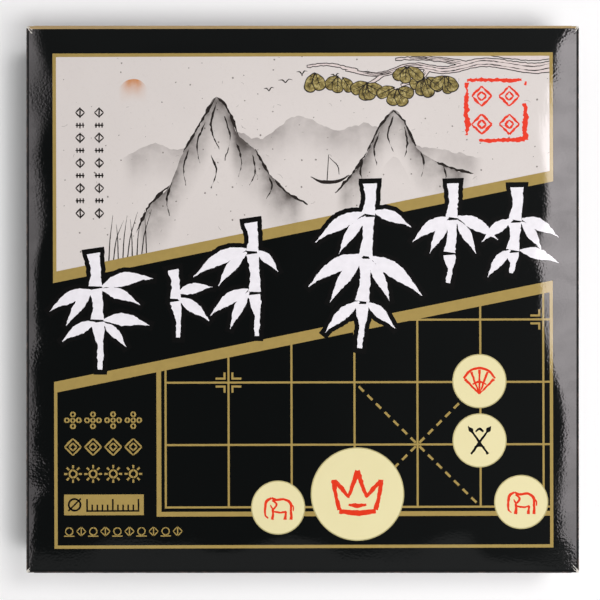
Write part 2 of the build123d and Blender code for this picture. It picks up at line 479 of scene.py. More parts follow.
def painting(name, outlines, base=0.0, lift=0.0):
    """Closed outlines in millimetres, each filled as a flat curve and turned into a mesh, as one object.
    Each may lie a lift above the one before. They are filled a thousand times too large, because a fill
    merges points that lie very close."""
    shapes = [drawn(name, [(at[0], at[1], 0) for at in outline], flat=True) for outline in outlines]
    pick(*shapes)
    bpy.ops.object.convert(target="MESH")
    for count, made in enumerate(shapes):
        made.data.transform(Matrix.Scale(MM, 4) @ Matrix.Translation((0, 0, base + count * lift)))
    return join(shapes, name)


white_print = printed("white_ink_under_film", "#EFECF1")
black_print = printed("black_ink_under_film", "#101010")
edge_margin = 1.7

stems = [  # top, foot, width and the joints as shares of the height
    ((-75.6, 17.0), (-73.2, -26.0), 4.4, (0.30, 0.58)),
    ((-46.8, 11.0), (-45.0, -14.5), 3.6, (0.45,)),
    ((-18.6, 28.0), (-16.6, -14.0), 4.2, (0.27, 0.62)),
    ((24.6, 42.0), (20.4, -18.5), 4.6, (0.20, 0.45, 0.72)),
    ((54.6, 42.0), (52.6, 5.0), 4.0, (0.36, 0.70)),
    ((77.8, 40.5), (75.4, 8.5), 4.4, (0.40, 0.74)),
]
leaves = [  # x and y of the root, heading in degrees, length, width and how far it turns
    (-76.5, 3.2, 196, 17, 4.4, 22), (-76.5, 2.4, 226, 15, 3.6, 14), (-72.5, 4.4, 22, 19, 5.0, -26),
    (-72.6, 3.4, -12, 15, 4.0, -20), (-75.0, -8.4, 200, 14, 4.0, 20), (-72.0, -7.6, 4, 17, 4.6, -22),
    (-72.0, -8.6, -40, 12, 3.4, -14), (-45.2, 2.0, 20, 13, 3.8, -20), (-45.0, 0.2, -28, 14, 4.2, -16),
    (-20.2, 18.0, 196, 22, 4.8, 24), (-20.2, 16.8, 222, 16, 3.8, 16), (-16.6, 17.4, -36, 11, 3.4, -18),
    (-19.6, 3.4, 204, 17, 4.4, 22), (-19.4, 2.4, 236, 15, 3.6, 14), (22.6, 31.0, 200, 21, 4.8, 22),
    (22.8, 29.8, 228, 17, 4.0, 14), (25.6, 31.2, -10, 15, 4.0, -24), (21.8, 15.6, 198, 23, 5.2, 24),
    (21.6, 14.6, 226, 20, 4.4, 16), (24.2, 15.2, -28, 24, 5.4, -18), (24.0, 14.2, -58, 17, 4.0, -12),
    (20.6, -1.2, 214, 17, 4.2, 16), (23.0, -1.6, -34, 14, 3.8, -16), (53.0, 29.2, 204, 16, 4.4, 20),
    (53.0, 28.2, 234, 14, 3.6, 12), (56.2, 29.4, -20, 17, 4.6, -20), (55.8, 28.2, -54, 14, 3.6, -12),
    (76.0, 28.4, 206, 14, 4.0, 20), (79.4, 28.6, -16, 15, 4.4, -22), (79.2, 27.6, -48, 13, 3.6, -14),
    (75.2, 17.4, 222, 13, 3.8, 16), (78.6, 17.2, -8, 15, 4.0, -20),
]


def bamboo(grow):
    """The outlines of all stems and leaves, each grown outwards by a margin."""
    made = []
    for top, foot, width, joints in stems:
        top, foot = Vector(top), Vector(foot)
        shares = (0.0, *joints, 1.0)
        for first, second in zip(shares, shares[1:]):
            upper, lower = top.lerp(foot, first), top.lerp(foot, second)
            gap = (lower - upper).normalized() * (0.5 if grow == 0 else 0.0)
            narrow = 0.55 if second == 1.0 else 1.0
            swells = (1.1, 0.88, 0.82 * narrow, 0.86 * narrow, 1.12 * narrow ** 2)
            widths = [width * share for share in swells]
            bow = Vector((0.5, 0))
            points = [upper + gap, (upper + lower) / 2 + bow, lower - gap]
            made.append(stroke(points, widths, 0.35, 0.7, grow))
    for x, y, heading, length, width, turn in leaves:
        points = [Vector((x, y))]
        for step in range(4):
            way = math.radians(heading + turn * step / 3)
            points.append(points[-1] + Vector((math.cos(way), math.sin(way))) * length / 4)
        widths = [width * share for share in (0.14, 0.5, 0.86, 1.0, 0.95, 0.75, 0.45, 0.2, 0.02)]
        made.append(stroke(points, widths, 0.3, 0.7, grow))
    return made


ink(painting("title_edge", bamboo(edge_margin)), edge_level, black_print, merge=True)
ink(painting("title_bamboo", bamboo(0.0)), top_level, white_print, merge=True)

# ---- Picture: an ink landscape in washes and dry strokes, printed with the rice paper: crags over a far
# ridge, a low sun, a few birds, a boat and reeds.
dark_print = printed("dark_ink_under_film", "#2B2624")


def wash_print(name, tone, strength):
    """Diluted ink over rice paper: strong where the wash attribute is 1, and bare paper where it is 0."""
    material, add, shader, place = filmed(name)
    cloud = add("TexNoise", place, Scale=1 / (9 * MM), Detail=5.0, Roughness=0.6)
    fade = add("POWER", add("Attribute", attribute_name="wash").outputs["Fac"], 1.6)
    fade = add("MULTIPLY", fade, add("MapRange", cloud, 0.3, 0.7, 0.45, 1.35))
    fade = add("MULTIPLY", fade, strength, use_clamp=True)
    feed(shader, Base_Color=add("MixRGB", fade, rice_paper(add, place), tone))
    return material


def ridge(name, crest, depth, level, material, ragged=0.9):
    """A hillside: a strip that hangs from a crest line, with a wash attribute that falls from 1 to 0."""
    path = smooth_path(crest, 0.9)
    pick()
    bpy.ops.mesh.primitive_grid_add(x_subdivisions=len(path) - 1, y_subdivisions=5, size=1)
    made = bpy.context.object
    made.name = name
    wash = made.data.attributes.new("wash", "FLOAT", "POINT")
    for vertex in made.data.vertices:
        column = round((vertex.co.x + 0.5) * (len(path) - 1))
        share = 0.5 - vertex.co.y
        point = path[column]
        rough = noise.fractal(Vector((point.x * 0.35, point.y * 0.2, 3.0)), 1.0, 2.0, 3) * ragged
        ends = min(column, len(path) - 1 - column) / 6
        wash.data[vertex.index].value = (1 - share) * min(1.0, ends)
        vertex.co = Vector((point.x * MM, (point.y + rough - share * depth) * MM, 0))
    trim(made, (0, picture_band), downhill)
    return ink(made, level, material)


far_wash = wash_print("pale_ink_wash_under_film", "#A39C99", 0.75)
near_wash = wash_print("grey_ink_wash_under_film", "#5A5451", 0.85)
sun_wash = wash_print("ochre_wash_under_film", "#C9803F", 0.9)
far_crest = [(-66, 50), (-54, 56), (-44, 54), (-30, 62), (-15, 58), (-2, 66), (12, 61), (24, 63), (38, 56),
             (54, 53), (66, 50)]
left_crest = [(-60, 24), (-55, 34), (-48, 41), (-43, 53), (-36, 65), (-31, 73), (-27, 69), (-23, 59),
              (-17, 54), (-12, 45), (-5, 38), (2, 34)]
right_crest = [(12, 38), (18, 45), (23, 52), (28, 62), (33, 68), (37, 64), (41, 55), (47, 50), (54, 47),
               (62, 45)]
sun_crest = [(-66.5, 76), (-64, 78.6), (-61, 79.6), (-58, 78.6), (-55.5, 76)]
ridge("picture_far_ridge", far_crest, 16, wash_level, far_wash)
ridge("picture_left_crag", left_crest, 22, wash_level + 0.3, near_wash)
ridge("picture_right_crag", right_crest, 17, wash_level + 0.6, near_wash)
ridge("picture_sun", sun_crest, 8.5, wash_level, sun_wash, 0.1)

ink_lines = []
for crest, parts in ((left_crest, ((0, 3), (3, 6), (5, 8), (8, 10), (9, 12))),
                     (right_crest, ((0, 3), (2, 5), (4, 7), (7, 10)))):
    for first, last in parts:
        ink_lines.append(stroke(crest[first:last], (0.15, 0.9, 0.5, 1.2, 0.2), 0.5))
crag_folds = [
    ((-31, 71), (-33, 62), (-30, 54)), ((-35, 64), (-38, 56), (-37, 49)), ((-28, 66), (-26, 58), (-28, 50)),
    ((-41, 54), (-43, 47), (-42, 41)), ((-24, 57), (-22, 50), (-23, 44)), ((-47, 42), (-49, 36), (-48, 30)),
    ((-33, 52), (-31, 46), (-33, 40)), ((-18, 52), (-17, 46), (-19, 41)), ((33, 66), (31, 59), (33, 53)),
    ((28, 60), (26, 54), (27, 48)), ((37, 62), (38, 56), (37, 51)), ((43, 53), (44, 48), (43, 44)),
    ((22, 50), (21, 46), (22, 42)), ((-12, 44), (-11, 40), (-13, 36)), ((51, 48), (52, 44), (51, 41)),
]
ink_lines += [stroke(fold, (0.1, 0.75, 0.5, 0.25, 0.05), 0.45) for fold in crag_folds]
for x, y, size in ((-6, 78, 2.6), (0, 81, 2.0), (6, 77.5, 2.3), (-12, 75, 1.8), (12, 80, 1.6)):
    for points, widths in (([(x - size, y + 0.9), (x - 0.4 * size, y + 1.0), (x, y)], (0.1, 0.5, 0.35)),
                           ([(x, y), (x + 0.5 * size, y + 1.3), (x + size, y + 1.1)], (0.35, 0.5, 0.1))):
        ink_lines.append(stroke(points, widths, 0.1, 0.5))
ink_lines.append(stroke([(3, 44.0), (7, 42.2), (13, 42.4), (17, 44.6)], (0.2, 1.3, 1.2, 0.2), 0.15))
ink_lines.append(stroke([(9, 42.5), (9.6, 52.0)], (0.35, 0.25), 0.05))
ink_lines.append(stroke([(9.8, 51.0), (12.8, 48.0), (13.4, 44.8)], (0.2, 0.4, 0.2), 0.1))
for reed in range(9):
    x = -70 + 1.7 * reed
    foot = picture_band + band_rise / 2 + band_slope * x
    lean = 2.5 * math.sin(reed * 2.1) + 1.5
    points = [(x, foot), (x + 0.3 * lean, foot + 7.5), (x + lean, foot + 14.5 + 2 * math.cos(reed * 1.7))]
    ink_lines.append(stroke(points, (0.45, 0.35, 0.08), 0.06))
ink(painting("picture_ink_lines", ink_lines), line_level, dark_print)

# ---- Bough: part of the printed picture, pale bark between dark edges that reaches in from the right, with
# hanging clusters of olive gold leaves.
olive_print, add, shader, place = filmed("olive_gold_ink_under_film")
patch = add("TexNoise", place, Scale=1 / (1.7 * MM), Detail=4.0, Roughness=0.65)
olive = add("ValToRGB", patch)
tones = olive.color_ramp.elements
tones[0].position, tones[0].color = 0.32, linear("#4C4227")
tones[1].position, tones[1].color = 0.68, linear("#C2B47C")
tones.new(0.5).color = linear("#8E7F4C")
feed(shader, Base_Color=olive)
bark_print = printed("pale_bark_ink_under_film", "#DCCFCB")

boughs = [
    ([(94, 84.8), (84, 83.0), (66, 85.2), (52, 82.5), (40, 84), (28, 81), (16, 82.5)],
     (3.8, 3.2, 2.8, 2.4, 1.8, 1.2, 0.5)),
    ([(60, 84.6), (52, 86), (44, 86.8), (34, 86.5)], (1.6, 1.4, 1.0, 0.5)),
    ([(46, 83), (42, 79), (36, 77)], (1.5, 1.1, 0.5)),
    ([(30, 81.4), (25, 78), (20, 77.5)], (1.2, 0.8, 0.4)),
    ([(94, 88.0), (84, 87.2), (74, 87.6), (62, 89.5)], (1.8, 2.2, 1.4, 1.0)),
    ([(20, 82.2), (10, 84.6), (2, 84)], (0.9, 0.8, 0.4)),
]
bark_lines = []
for points, widths in boughs[:3]:
    for side in (-1, 1):
        for first in range(len(points) - 2):
            start, middle, end = (Vector(p) + Vector((0, side * 0.22 * w)) for p, w in
                                  zip(points[first:first + 3], widths[first:]))
            bark_lines.append(stroke([start.lerp(middle, 0.3), middle, middle.lerp(end, 0.5)],
                                     (0.05, 0.38, 0.05), 0.2))
for name, outlines, level, material in (
        ("picture_bough_edge", [stroke(*bough, 0.3, grow=0.32) for bough in boughs], line_level + 0.2,
         dark_print),
        ("picture_bough", [stroke(*bough, 0.3) for bough in boughs], line_level + 0.4, bark_print),
        ("picture_bark_lines", bark_lines, line_level + 0.5, dark_print)):
    made = painting(name, outlines)
    trim(made, (border_right - border_line, 0), (1, 0))
    trim(made, (0, border_top - border_line), (0, 1))
    ink(made, level, material, merge=material is bark_print)

random.seed(7)
leaf_faces, leaf_edges, leaf_veins = [], [], []
leaf_clusters = [(14, 80.5, 3), (24, 78.0, 4), (34, 76.2, 4), (44, 79.5, 4), (52.6, 80.5, 3), (4, 82.0, 2),
                 (38, 83.6, 3)]
for x, y, count in leaf_clusters:
    for leaf in range(count):
        angle = math.radians(-90 + (leaf - (count - 1) / 2) * 40 + random.uniform(-9, 9))
        length, width = random.uniform(5.2, 6.8), random.uniform(3.4, 4.2)
        root = Vector((x, y)) + Vector((random.uniform(-1, 1), random.uniform(-0.6, 0.6)))
        along = Vector((math.cos(angle), math.sin(angle)))
        across = Vector((-math.sin(angle), math.cos(angle)))
        middle = root + along * (length / 2 + 0.6)
        outline = []
        for step in range(26):
            turn = 2 * math.pi * step / 26
            swell = 1 + 0.06 * math.cos(5 * turn)
            outline.append(middle - along * length / 2 * math.cos(turn)
                           + across * width / 2 * math.sin(turn) * swell * (1 - 0.3 * math.cos(turn)))
        leaf_faces.append(outline)
        leaf_edges.append([middle + (point - middle) * 1.14 for point in outline])
        leaf_veins.append(stroke([root, middle, root + along * length], (0.4, 0.28, 0.08), 0.03))
        for share in (0.35, 0.6):
            for side in (-1, 1):
                rib = root + along * length * share
                leaf_veins.append(stroke([rib, rib + along * 1.0 + across * side * 1.2], (0.24, 0.08), 0.02))
# Each leaf lies a hair above the one before, so that its edge shows over it
leaf_lift = 0.004
ink(painting("picture_leaf_edges", leaf_edges, 0.0, leaf_lift), line_level + 0.5, dark_print)
ink(painting("picture_leaves", leaf_faces, leaf_lift / 2, leaf_lift), line_level + 0.5, olive_print)
ink(painting("picture_leaf_veins", leaf_veins, leaf_lift * len(leaf_faces), 0.0), line_level + 0.6,
    dark_print)

# ---- Seal: a rough square frame round a plain lattice of four lozenges, printed as if stamped in cinnabar
# paste, with ragged lines that break off where the stamp barely touched.
seal_print = printed("cinnabar_ink_under_film", "#E8402C")
seal_left, seal_bottom, seal_right, seal_top = 59.7, 57.1, 80.5, 78.7


def arc(x, y, radius, start, end, steps=8):
    """Points along an arc round a middle, from one angle in degrees to another, clockwise from the top."""
    turns = [math.radians(start + (end - start) * step / steps) for step in range(steps + 1)]
    return [(x + radius * math.sin(turn), y + radius * math.cos(turn)) for turn in turns]


def loop(x, y, radius, width, corners=0, ragged=0.1):
    """A ring of two halves that overlap, or a polygon standing on a corner, as strokes round a middle."""
    if not corners:
        lap = math.degrees(0.08 / radius)
        halves = [arc(x, y, radius, start - lap, start + 180 + lap) for start in (0, 180)]
        return [stroke(half, (width, width), ragged, 0.6) for half in halves]
    tips = arc(x, y, radius, 0, 360, corners)
    return [stroke(pair, (0.6 * width, width, 0.6 * width), ragged, 0.6) for pair in zip(tips, tips[1:])]


seal_lines = [
    stroke([(seal_left, seal_top), (66, seal_top + 0.3), (73, seal_top), (79.4, seal_top + 0.2)],
           (1.1, 1.5, 1.2, 1.5, 0.9), 0.5, 0.5),
    stroke([(seal_left, seal_top - 0.8), (seal_left - 0.3, 70), (seal_left, 63), (seal_left - 0.1, 58.9)],
           (1.2, 1.0, 1.8, 1.5, 1.9, 1.0), 0.8, 0.5),
    stroke([(64.0, seal_bottom), (70, seal_bottom - 0.2), (76, seal_bottom + 0.1),
            (seal_right, seal_bottom + 0.4)],
           (0.7, 1.5, 1.4, 1.6), 0.5, 0.5),
    stroke([(seal_right + 0.2, seal_bottom), (seal_right, 62), (seal_right + 0.3, 66), (seal_right, 70.4)],
           (1.6, 2.0, 1.7, 1.8, 1.3), 0.7, 0.5),
    stroke([(seal_right + 0.4, 78.3), (seal_right + 0.3, 76.9)], (0.8, 0.6), 0.4, 0.5),
]
for x in (65.0, 75.0):
    for y in (62.8, 73.0):
        seal_lines += loop(x, y, 3.6, 0.95, 4, 0.35) + loop(x, y, 1.6, 0.85, 4, 0.3)
ink(painting("seal", seal_lines), line_level, seal_print, merge=True)

# ---- Small print: two upright rows of ink ornaments in the picture's left, and in the black field three
# rows of gold ones, a gold plate with a plain scale of ticks and a bottom line of small ones.
side_marks = []
for x in (-80.3, -73.4):
    for row in range(9):
        y = 67.4 - row * 4.55
        if row % 2 == 0:
            side_marks += loop(x, y, 1.6, 0.55, 4)
            side_marks.append(stroke([(x, y + 1.9), (x, y - 1.9)], (0.4, 0.55, 0.4), 0.1))
        else:
            for side in (-1, 0, 1):
                points = [(x + side * 1.1, y - 0.9), (x + side * 1.1, y + 0.9)]
                side_marks.append(stroke(points, (0.4, 0.6, 0.4), 0.1))
            side_marks.append(stroke([(x - 1.6, y), (x + 1.6, y)], (0.4, 0.55, 0.4), 0.1))
ink(painting("picture_side_marks", side_marks), line_level, dark_print)

ornament_left, ornament_pitch = -83.15, 7.27
top_row, middle_row, low_row = -43.85, -53.5, -63.25
ornaments = []
for column in range(4):
    x = ornament_left + column * ornament_pitch
    ornaments += loop(x, top_row, 0.7, 0.6)
    for side in (-2.15, 2.15):
        ornaments += loop(x + side, top_row, 0.75, 0.6) + loop(x, top_row + side, 0.75, 0.6)
    ornaments += loop(x, middle_row, 3.0, 0.75, 4) + loop(x, middle_row, 1.4, 0.7, 4)
    ornaments += loop(x, low_row, 1.3, 0.7)
    for ray in range(8):
        way = Vector((math.cos(ray * math.pi / 4), math.sin(ray * math.pi / 4)))
        middle = Vector((x, low_row))
        ornaments.append(stroke([middle + way * 2.0, middle + way * 3.2], (0.6, 0.75), 0.05))
ink(painting("gold_ornaments", ornaments), gold_level, gold_print)

ink(sheet("gold_plate", -86.4, -78.2, -57.6, -70.7), gold_level, gold_print)
scale_foot = -76.45
ticks = loop(-82.6, -74.4, 2.1, 0.7) + [stroke([(-84.9, -76.65), (-80.3, -72.15)], (0.55, 0.6), 0.05)]
ticks.append(stroke([(-78.4, scale_foot - 0.2), (-59.2, scale_foot - 0.2)], (0.6, 0.6), 0.04))
for tick in range(11):
    x = -78.1 + tick * 1.86
    ticks.append(stroke([(x, scale_foot), (x, -74.35 if tick % 5 else -72.35)], (0.6, 0.6), 0.04))
ink(painting("plate_ticks", ticks), edge_level, black_print)

foot_line = []
foot_row = -84.05
for mark in range(10):
    x = -84.6 + mark * 4.36
    if mark % 2:
        foot_line += loop(x, foot_row, 1.7, 0.42, 4)
        bar = [(x, foot_row + 1.7), (x, foot_row - 1.7)]
    else:
        foot_line += loop(x, foot_row, 1.3, 0.42)
        bar = [(x - 1.9, foot_row - 1.7), (x + 1.9, foot_row - 1.7)]
    foot_line.append(stroke(bar, (0.4, 0.4), 0.04))
ink(painting("gold_foot_line", foot_line), gold_level, gold_print)

# ---- Printed pieces: five cream discs with a shaded rim on the board diagram, each with a brushed picture
# of its rank in red or black ink. The same pictures are cut into the wooden pieces.
disc_print, add, shader, place = filmed("cream_ink_under_film")
tone = add("TexNoise", place, Scale=1 / (14 * MM), Detail=2.0)
feed(shader, Base_Color=add("MixRGB", tone, "#E4DAA9", "#EAE1B2"))
rim_print = printed("shaded_cream_ink_under_film", "#B9AF7E")
red_print = printed("red_ink_under_film", "#E23A20")
disc_small, disc_large = 9.79, 16.9

mark_scale = 0.056  # makes a rank's picture fit its piece, for each millimetre of the piece's radius
rank_marks = {  # strokes of each rank's picture and their widths, before they are fitted to a piece
    "general": [(((-7, -6.5), (0, -7.2), (7, -6.5)), (1.6, 2.2, 1.6)),
                (((-6.9, -6.0), (-8.4, 0), (-9, 5.5)), (1.8, 1.4, 2.2)),
                (((-8.8, 5.2), (-5.5, 1.5), (-3.4, -1.2)), (1.2, 1.8, 1.0)),
                (((-3.6, -1.4), (-1.6, 4), (0, 9)), (1.0, 1.7, 2.2)),
                (((0, 9), (1.6, 4), (3.6, -1.4)), (2.2, 1.6, 1.0)),
                (((3.4, -1.2), (5.5, 1.5), (8.8, 5.2)), (1.0, 1.8, 1.2)),
                (((9, 5.5), (8.4, 0), (6.9, -6.0)), (2.2, 1.4, 1.8)),
                (((-3.4, -4.0), (0, -4.4), (3.4, -4.0)), (0.8, 1.6, 0.8))],
    "advisor": [(((0, -8.5), (x, y)), (0.9, 1.7))
                for x, y in ((-9.6, 1.4), (-5.4, 6.0), (0, 7.6), (5.4, 6.0), (9.6, 1.4))]
               + [(((-10.4, 1.8), (-6, 6.8), (0, 8.6), (6, 6.8), (10.4, 1.8)), (1.4, 1.8, 1.5, 1.8, 1.2)),
                  (((-4.6, -2.2), (0, -0.4), (4.6, -2.2)), (0.9, 1.4, 0.9))],
    "elephant": [(((8.5, -2), (8, 3), (4, 5.5), (-1, 5), (-4.5, 6.4)), (1.4, 2.0, 1.6, 1.8, 1.4)),
                 (((-4.5, 6.4), (-7.8, 4), (-8.6, -1), (-8.4, -5), (-6.4, -7)), (1.4, 2.0, 1.7, 1.4, 0.8)),
                 (((-3.8, 5), (-1.0, 2.4), (-3.2, -0.8), (-5, 1.8)), (1.2, 1.5, 1.2, 0.8)),
                 (((-3.6, -1), (-3.4, -4.5), (-3.8, -8)), (1.5, 1.7, 2.1)),
                 (((-3.0, -2.6), (1.5, -3.4), (5.5, -2.6)), (1.0, 1.5, 1.2)),
                 (((5.2, -2.6), (4.8, -5.5), (4.6, -8)), (1.4, 1.6, 2.1)),
                 (((8.4, -1.5), (8.6, -5), (8.4, -8)), (1.4, 1.7, 2.1)),
                 (((8.4, 2.4), (10, 0.4), (9.9, -2.4)), (0.9, 0.7, 1.0))],
    "horse": [(((-4.5, -8), (-5, -1), (-1, 5), (2.6, 8.6)), (1.6, 2.3, 2.5, 1.0)),
              (((2.6, 8.6), (3.4, 6), (6.5, 2.6), (8.8, -0.6)), (0.9, 1.6, 1.7, 1.6)),
              (((8.8, -0.6), (7.6, -2.8), (5.4, -2.4), (2.8, -0.6)), (1.5, 1.6, 1.2, 0.9)),
              (((2.8, -0.6), (2.4, -4), (4.8, -8)), (1.0, 1.7, 2.0)),
              (((2.6, 3.4), (4.0, 3.0)), (1.0, 1.1)),
              (((-6, -8.8), (0, -9.2), (6.4, -8.8)), (1.2, 1.8, 1.2))],
    "chariot": [(arc(0, 0, 8, start, start + 184), (1.8, 1.5, 1.8)) for start in (-2, 178)]
               + [(((-7 * math.cos(way), -7 * math.sin(way)), (7 * math.cos(way), 7 * math.sin(way))),
                   (1.5, 0.9, 1.5)) for way in (math.pi / 4, math.pi / 2, 3 * math.pi / 4, math.pi)],
    "cannon": [(((-8.6, 0.2), (-2, 3.2), (7.0, 7.4)), (4.6, 4.0, 3.0)),
               (((7.2, 10.0), (9.4, 5.2)), (1.3, 1.3)),
               (((-9.6, 2.6), (-11.0, 0.4), (-9.8, -1.6)), (0.9, 0.8, 0.9)),
               (arc(-1, -5, 4.2, -2, 182), (1.5, 1.3, 1.5)), (arc(-1, -5, 4.2, 178, 362), (1.5, 1.3, 1.5)),
               (((-2.0, -5.0), (0.0, -5.0)), (1.8, 1.8)), (((4.6, -9.0), (8.6, -9.2)), (0.9, 1.2))],
    "soldier": [(((-5.6, -9), (4.8, 5.4)), (1.5, 1.4)),
                (((7.6, 9.4), (6.0, 7.2), (4.4, 4.9)), (0.3, 3.4, 0.9)),
                (((5.6, -9), (-4.8, 5.4)), (1.5, 1.4)),
                (((-7.6, 9.4), (-6.0, 7.2), (-4.4, 4.9)), (0.3, 3.4, 0.9)),
                (((-3.2, -4.6), (0, -3.4), (3.2, -4.6)), (1.0, 1.9, 1.0)),
                (((-2.6, 5.8), (0, 7.6), (2.6, 5.8)), (1.2, 1.8, 1.2))],
}


def rank_outlines(rank, x, y, radius):
    """A rank's picture about a middle, brushed as large as suits a piece of this radius."""
    scale = mark_scale * radius
    return [stroke([(x + scale * px, y + scale * py) for px, py in points], [scale * w for w in widths],
                   0.3 * scale, 0.8 * scale) for points, widths in rank_marks[rank]]


printed_ranks = [
    ("advisor", 63.9, -30.05, disc_small, red_print), ("soldier", 63.9, -51.5, disc_small, black_print),
    ("elephant", -9.0, -75.6, disc_small, red_print), ("elephant", 78.9, -73.8, disc_small, red_print),
    ("general", 19.7, -70.8, disc_large, red_print),
]
for count, (rank, x, y, radius, colour) in enumerate(printed_ranks, 1):
    for name, size, level, material in (("rim", radius, edge_level, rim_print),
                                        ("face", radius - 0.4, top_level, disc_print)):
        pick()
        bpy.ops.mesh.primitive_circle_add(vertices=96, radius=size * MM, fill_type="NGON")
        made = bpy.context.object
        made.data.transform(Matrix.Translation((x * MM, y * MM, 0)))
        made.name = f"disc_{name}_{count}"
        ink(made, level, material)
    picture = painting(f"disc_mark_{count}", rank_outlines(rank, x, y, radius))
    ink(picture, mark_level, colour, merge=True)

# ---- Tray: polystyrene sheet, about half a millimetre thick and coloured black through, vacuum formed over
# a satin mould. The draw leaves it a soft sheen with a fine pebble and faint flow in the deck.
tray_sheet, add, shader, place = new_material("black_vacuum_formed_polystyrene", IOR=1.58)
flow = add("TexNoise", place, Scale=1 / (18 * MM), Detail=2.0)
pebble = add("TexNoise", place, Scale=1 / (0.8 * MM), Detail=2.0)
height = add("MULTIPLY_ADD", pebble, 0.008 * MM, add("MULTIPLY", flow, 0.12 * MM))
feed(shader, Base_Color=add("MixRGB", flow, "#17181A", "#222326"),
     Roughness=add("MapRange", pebble, 0.3, 0.7, 0.28, 0.42),
     Normal=add("Bump", Height=height, Strength=1.0, Distance=1.0))
coat(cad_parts["tray"], tray_sheet)

# ---- Playing board: coated paper, printed with the grid on its outer side, folded in half and pleated. The
# grid of the leaf on top is drawn.
board_low, board_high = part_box("playing_board")
board_square = 40.01 * MM
board_margin = 25 * MM
board_line = 0.9 * MM
board_paper, add, shader, place = new_material("printed_coated_paper", Roughness=0.32)
x, y, z = add("SeparateXYZ", place).outputs
from_left = add("SUBTRACT", x, board_low.x)
from_back = add("SUBTRACT", board_high.y - board_margin, y)
rows, ranks = (add("LESS_THAN", add("PINGPONG", distance, board_square / 2), board_line / 2)
               for distance in (from_left, from_back))
grid = add("MAXIMUM", rows, ranks)
within = add("LESS_THAN", from_left, 4 * board_square + board_line / 2)
grid = add("MULTIPLY", grid, within)
within = add("GREATER_THAN", from_back, -board_line / 2)
grid = add("MULTIPLY", grid, within)
tooth = add("TexNoise", place, Scale=1 / (0.5 * MM), Detail=4.0)
paper = add("MixRGB", tooth, "#E3D4A6", "#EDE0B8")
height = add("MULTIPLY", tooth, 0.004 * MM)
feed(shader, Base_Color=add("MixRGB", grid, paper, "#4A2A1C"),
     Normal=add("Bump", Height=height, Strength=1.0, Distance=1.0))
coat(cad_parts["playing_board"], board_paper)


# ---- Playing pieces: pale close-grained wood, turned to a drum with a bulging side and rounded rims, sanded
# and clear lacquered. The ring and the rank's picture are cut into the upper face and filled with paint.
def lacquered_wood(name):
    """Pale wood with straight fine grain, turned a little differently on each piece, under clear lacquer."""
    material, add, shader, place = new_material(name, Roughness=0.3, Coat_Weight=0.5, Coat_Roughness=0.12)
    own = add("Attribute", attribute_name="grain").outputs["Fac"]
    turned = add("VectorRotate", rotation_type="Z_AXIS", Vector=place, Angle=own)
    shifted = add("VectorMath", "ADD", turned, own)
    rings = add("Mapping", shifted, Scale=(1, 0.12, 0.5))
    rings = add("TexNoise", rings, Scale=1 / (4.5 * MM), Detail=3.0, Roughness=0.55)
    fine = add("Mapping", shifted, Scale=(1, 0.04, 0.3))
    fine = add("TexNoise", fine, Scale=1 / (0.35 * MM), Detail=3.0)
    tone = add("MixRGB", add("MapRange", rings, 0.35, 0.65), "#D9BC86", "#EBD7A9")
    tone = add("MixRGB", add("MapRange", fine, 0.55, 0.75, 0.0, 0.4), tone, "#B48F58")
    height = add("MULTIPLY", fine, 0.01 * MM)
    feed(shader, Base_Color=tone, Normal=add("Bump", Height=height, Strength=0.6, Distance=1.0))
    return material


def piece_paint(name, colour):
    """Brushed enamel that pools in the cut marks, a little uneven."""
    material, add, shader, place = new_material(name, Roughness=0.38)
    pool = add("TexNoise", place, Scale=1 / (1.5 * MM), Detail=2.0)
    shade = add("MapRange", pool, 0.3, 0.7, 0.85, 1.1)
    height = add("MULTIPLY", pool, 0.05 * MM)
    feed(shader, Base_Color=add("VectorMath", "SCALE", linear(colour)[:3], Scale=shade),
         Normal=add("Bump", Height=height, Strength=1.0, Distance=1.0))
    return material


wood = lacquered_wood("turned_lacquered_wood")
paints = {"red": piece_paint("red_enamel_in_cut", "#C4241A"),
          "black": piece_paint("black_enamel_in_cut", "#17171A")}
piece_radius, piece_high, piece_barrel, piece_round = 20.0, 16.0, 0.9, 2.4
groove_radius, groove_half = 15.2, 0.4
cut_depth, painted_depth = 0.55, 0.7

# Half the section runs from the middle of the underside to the middle of the marked face
side_radius = (piece_barrel ** 2 + (piece_high / 2) ** 2) / (2 * piece_barrel)
rim_run = math.sqrt((side_radius - piece_round) ** 2 - (piece_high / 2 - piece_round) ** 2)
rim_x = piece_radius - side_radius + rim_run
rim_angle = math.atan2(piece_high / 2 - piece_round, rim_run)


def bend(x, z, radius, first, last, steps):
    """Points of an arc of the section round a middle, from one angle in radians to another."""
    ways = [first + (last - first) * step / steps for step in range(steps + 1)]
    return [(x + radius * math.cos(way), z + radius * math.sin(way)) for way in ways]


upper = bend(piece_radius - side_radius, piece_high / 2, side_radius, 0, rim_angle, 4)
upper += bend(rim_x, piece_high - piece_round, piece_round, rim_angle, math.pi / 2, 7)[1:]
groove = bend(groove_radius, piece_high, groove_half, 0, -math.pi, 8)
lower = [(x, piece_high - z) for x, z in reversed(upper)]
section = [(0.0, 0.0), *lower, *upper[1:], *groove, (0.0, piece_high)]
blank = drawn("piece_blank", [(x * MM, 0, z * MM) for x, z in section], flat=False)
pick(blank)
bpy.ops.object.convert(target="MESH")
with opened(blank):
    bpy.ops.mesh.spin(steps=96, angle=2 * math.pi, center=(0, 0, 0), axis=(0, 0, 1))
    bpy.ops.mesh.select_all(action="SELECT")
    bpy.ops.mesh.remove_doubles(threshold=0.001 * MM)
    bpy.ops.mesh.normals_make_consistent(inside=False)


def twin(original, name):
    """A copy of an object, with a mesh of its own."""
    made = original.copy()
    made.data = original.data.copy()
    made.name = name
    bpy.context.scene.collection.objects.link(made)
    return made


